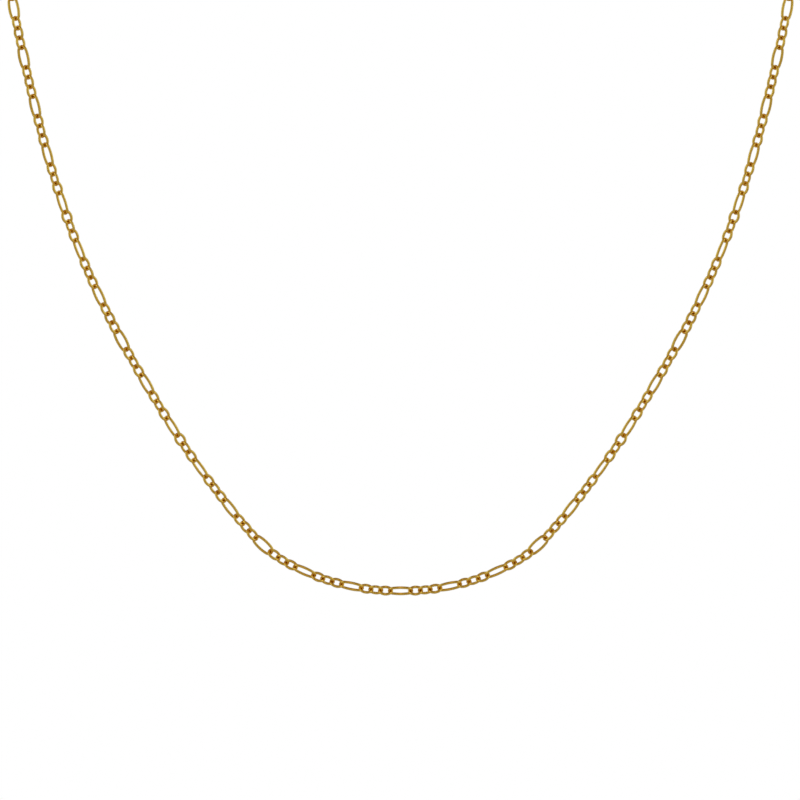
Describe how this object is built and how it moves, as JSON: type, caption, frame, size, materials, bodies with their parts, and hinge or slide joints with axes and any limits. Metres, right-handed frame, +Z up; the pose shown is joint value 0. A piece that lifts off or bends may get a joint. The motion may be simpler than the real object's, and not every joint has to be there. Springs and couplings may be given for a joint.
{
  "type": "figaro chain necklace",
  "caption": "Fine neck chain of oval wire links, short ones in threes between long ones, in a closed loop held by a plain bolt ring at the nape.",
  "frame": {"origin": "middle of the opening that the neck fills, level with the tops of the shoulders, where the chain is held up", "axes": "+Z up along the neck, the front of the chain hangs in a plane that faces -Y, the clasp is at the back, +X is the wearer's left"},
  "size_m": [0.123, 0.0697, 0.1169],
  "materials": {
    "gold_links": "polished yellow gold wire",
    "gold_clasp": "polished yellow gold"
  },
  "bodies": {
    "root": {"chain_right": "gold_links", "chain_left": "gold_links", "clasp": "gold_clasp"}
  },
  "joints": []
}
